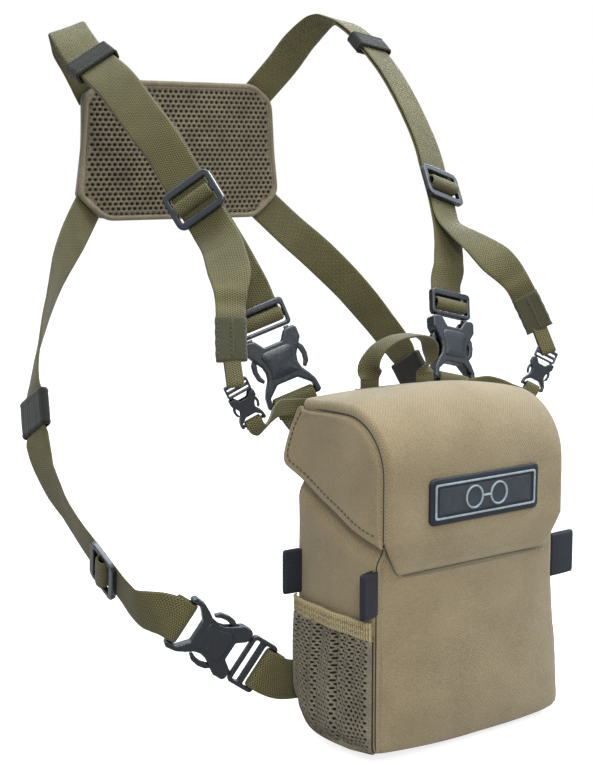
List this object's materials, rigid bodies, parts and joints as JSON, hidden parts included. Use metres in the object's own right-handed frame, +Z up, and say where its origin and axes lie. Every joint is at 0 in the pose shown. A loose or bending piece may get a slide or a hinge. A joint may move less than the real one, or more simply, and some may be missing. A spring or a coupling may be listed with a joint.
{
  "type": "binocular harness pack",
  "caption": "Padded binocular pouch with a front-hinged magnetic hood lid and mesh side pockets, on a webbing chest harness with side-release buckles and a mesh back pad.",
  "frame": {"origin": "centre of the flat base of the pouch", "axes": "+Z up the pouch, +Y from the pouch towards the wearer's chest and back, +X to the right of a person looking at the pouch's front; -Y is the front"},
  "size_m": [0.3316, 0.3087, 0.4246],
  "materials": {
    "cloth": "matte plain-weave polyester, dusty tan",
    "lining": "matte lining cloth",
    "webbing": "ribbed olive webbing",
    "loop_webbing": "black folded webbing",
    "mesh": "stretch knit mesh",
    "spacer": "spacer mesh with staggered holes",
    "foam": "foam-backed cloth",
    "elastic": "dark grey-green elastic",
    "plastic": "moulded acetal with a fine texture",
    "rubber": "moulded rubber with a raised grey border",
    "magnet": "plated strip magnet"
  },
  "bodies": {
    "pack": {"pouch_shell": "cloth", "pouch_liner": "lining", "pouch_magnet": "magnet", "handle_anchor": "webbing", "pad_face": "spacer", "back_pad": "foam", "mesh_pocket_left": "mesh", "side_loop_front_left": "loop_webbing", "side_loop_rear_left": "loop_webbing", "shoulder_strap_left": "webbing", "buckle_strap_left": "webbing", "shoulder_tab_left": "webbing", "shoulder_buckle_left_female": "plastic", "shoulder_buckle_left_male": "plastic", "lower_strap_left": "webbing", "lower_buckle_left_female": "plastic", "lower_buckle_left_male": "plastic", "lower_tab_left": "webbing", "tether_buckle_female_left": "plastic", "tether_buckle_male_left": "plastic", "tether_tab_left": "webbing", "mesh_pocket_right": "mesh", "side_loop_front_right": "loop_webbing", "side_loop_rear_right": "loop_webbing", "shoulder_strap_right": "webbing", "buckle_strap_right": "webbing", "shoulder_tab_right": "webbing", "shoulder_buckle_right_female": "plastic", "shoulder_buckle_right_male": "plastic", "lower_strap_right": "webbing", "lower_buckle_right_female": "plastic", "lower_buckle_right_male": "plastic", "lower_tab_right": "webbing", "tether_buckle_female_right": "plastic", "tether_buckle_male_right": "plastic", "tether_tab_right": "webbing"},
    "lid": {"lid_shell": "cloth", "lid_magnet": "magnet", "badge": "rubber"},
    "handle": {"grab_handle": "webbing"},
    "shoulder_keeper_left": {"shoulder_keeper_left": "elastic"},
    "shoulder_triglide_left": {"shoulder_triglide_left": "plastic", "shoulder_triglide_left_wrap": "webbing"},
    "lower_keeper_left": {"lower_keeper_left": "elastic"},
    "lower_triglide_left": {"lower_triglide_left": "plastic", "lower_triglide_left_wrap": "webbing"},
    "shoulder_buckle_left_arm_a": {"shoulder_buckle_left_arm_a": "plastic"},
    "shoulder_buckle_left_arm_b": {"shoulder_buckle_left_arm_b": "plastic"},
    "lower_buckle_left_arm_a": {"lower_buckle_left_arm_a": "plastic"},
    "lower_buckle_left_arm_b": {"lower_buckle_left_arm_b": "plastic"},
    "shoulder_keeper_right": {"shoulder_keeper_right": "elastic"},
    "shoulder_triglide_right": {"shoulder_triglide_right": "plastic", "shoulder_triglide_right_wrap": "webbing"},
    "lower_keeper_right": {"lower_keeper_right": "elastic"},
    "lower_triglide_right": {"lower_triglide_right": "plastic", "lower_triglide_right_wrap": "webbing"},
    "shoulder_buckle_right_arm_a": {"shoulder_buckle_right_arm_a": "plastic"},
    "shoulder_buckle_right_arm_b": {"shoulder_buckle_right_arm_b": "plastic"},
    "lower_buckle_right_arm_a": {"lower_buckle_right_arm_a": "plastic"},
    "lower_buckle_right_arm_b": {"lower_buckle_right_arm_b": "plastic"}
  },
  "joints": [
    {"name": "lid_hinge", "type": "hinge", "parent": "pack", "child": "lid", "pos_m": [0, -0.041, 0.0965], "axis": [1, 0, 0], "range_deg": [0, 150]},
    {"name": "grab_handle_fold", "type": "hinge", "parent": "pack", "child": "handle", "pos_m": [0.007, 0.0383, 0.1924], "axis": [1, 0, 0], "range_deg": [-60, 50]},
    {"name": "shoulder_keeper_left_slide", "type": "slide", "parent": "pack", "child": "shoulder_keeper_left", "axis": [-0.0291, 0.9015, 0.4317], "range_m": [-0.005, 0.006]},
    {"name": "shoulder_triglide_left_slide", "type": "slide", "parent": "pack", "child": "shoulder_triglide_left", "axis": [-0.2005, 0.5634, 0.8015], "range_m": [-0.004, 0.016]},
    {"name": "lower_keeper_left_slide", "type": "slide", "parent": "pack", "child": "lower_keeper_left", "axis": [0.2001, 0.4708, 0.8593], "range_m": [-0.002, 0.002]},
    {"name": "lower_triglide_left_slide", "type": "slide", "parent": "pack", "child": "lower_triglide_left", "axis": [-0.1, 0.8218, 0.5609], "range_m": [-0.006, 0.014]},
    {"name": "shoulder_buckle_left_arm_a_press", "type": "hinge", "parent": "pack", "child": "shoulder_buckle_left_arm_a", "pos_m": [-0.06321, 0.05762, 0.22719], "axis": [0.5145, 0.8426, -0.1589], "range_deg": [0, 6.5]},
    {"name": "shoulder_buckle_left_arm_b_press", "type": "hinge", "parent": "pack", "child": "shoulder_buckle_left_arm_b", "pos_m": [-0.08182, 0.06742, 0.21892], "axis": [-0.5145, -0.8426, 0.1589], "range_deg": [0, 6.5]},
    {"name": "lower_buckle_left_arm_a_press", "type": "hinge", "parent": "pack", "child": "lower_buckle_left_arm_a", "pos_m": [-0.10977, 0.05071, 0.03009], "axis": [0.4327, 0.9015, 0], "range_deg": [0, 6.5]},
    {"name": "lower_buckle_left_arm_b_press", "type": "hinge", "parent": "pack", "child": "lower_buckle_left_arm_b", "pos_m": [-0.09839, 0.04525, 0.04884], "axis": [-0.4327, -0.9015, 0], "range_deg": [0, 6.5]},
    {"name": "shoulder_keeper_right_slide", "type": "slide", "parent": "pack", "child": "shoulder_keeper_right", "axis": [0.0277, 0.7836, 0.6206], "range_m": [-0.005, 0.006]},
    {"name": "shoulder_triglide_right_slide", "type": "slide", "parent": "pack", "child": "shoulder_triglide_right", "axis": [0.2, 0.5658, 0.7999], "range_m": [-0.004, 0.016]},
    {"name": "lower_keeper_right_slide", "type": "slide", "parent": "pack", "child": "lower_keeper_right", "axis": [-0.2001, 0.4708, 0.8593], "range_m": [-0.002, 0.002]},
    {"name": "lower_triglide_right_slide", "type": "slide", "parent": "pack", "child": "lower_triglide_right", "axis": [0.1, 0.8218, 0.5609], "range_m": [-0.006, 0.014]},
    {"name": "shoulder_buckle_right_arm_a_press", "type": "hinge", "parent": "pack", "child": "shoulder_buckle_right_arm_a", "pos_m": [0.08349, 0.06163, 0.2205], "axis": [0, 0.9445, -0.3285], "range_deg": [0, 6.5]},
    {"name": "shoulder_buckle_right_arm_b_press", "type": "hinge", "parent": "pack", "child": "shoulder_buckle_right_arm_b", "pos_m": [0.06154, 0.06341, 0.22561], "axis": [0, -0.9445, 0.3285], "range_deg": [0, 6.5]},
    {"name": "lower_buckle_right_arm_a_press", "type": "hinge", "parent": "pack", "child": "lower_buckle_right_arm_a", "pos_m": [0.09839, 0.04525, 0.04884], "axis": [-0.4327, 0.9015, 0], "range_deg": [0, 6.5]},
    {"name": "lower_buckle_right_arm_b_press", "type": "hinge", "parent": "pack", "child": "lower_buckle_right_arm_b", "pos_m": [0.10977, 0.05071, 0.03009], "axis": [0.4327, -0.9015, 0], "range_deg": [0, 6.5]}
  ],
  "couplings": [
    {"joint": "shoulder_buckle_left_arm_b_press", "follows": "shoulder_buckle_left_arm_a_press", "ratio": 1},
    {"joint": "lower_buckle_left_arm_b_press", "follows": "lower_buckle_left_arm_a_press", "ratio": 1},
    {"joint": "shoulder_buckle_right_arm_b_press", "follows": "shoulder_buckle_right_arm_a_press", "ratio": 1},
    {"joint": "lower_buckle_right_arm_b_press", "follows": "lower_buckle_right_arm_a_press", "ratio": 1}
  ]
}
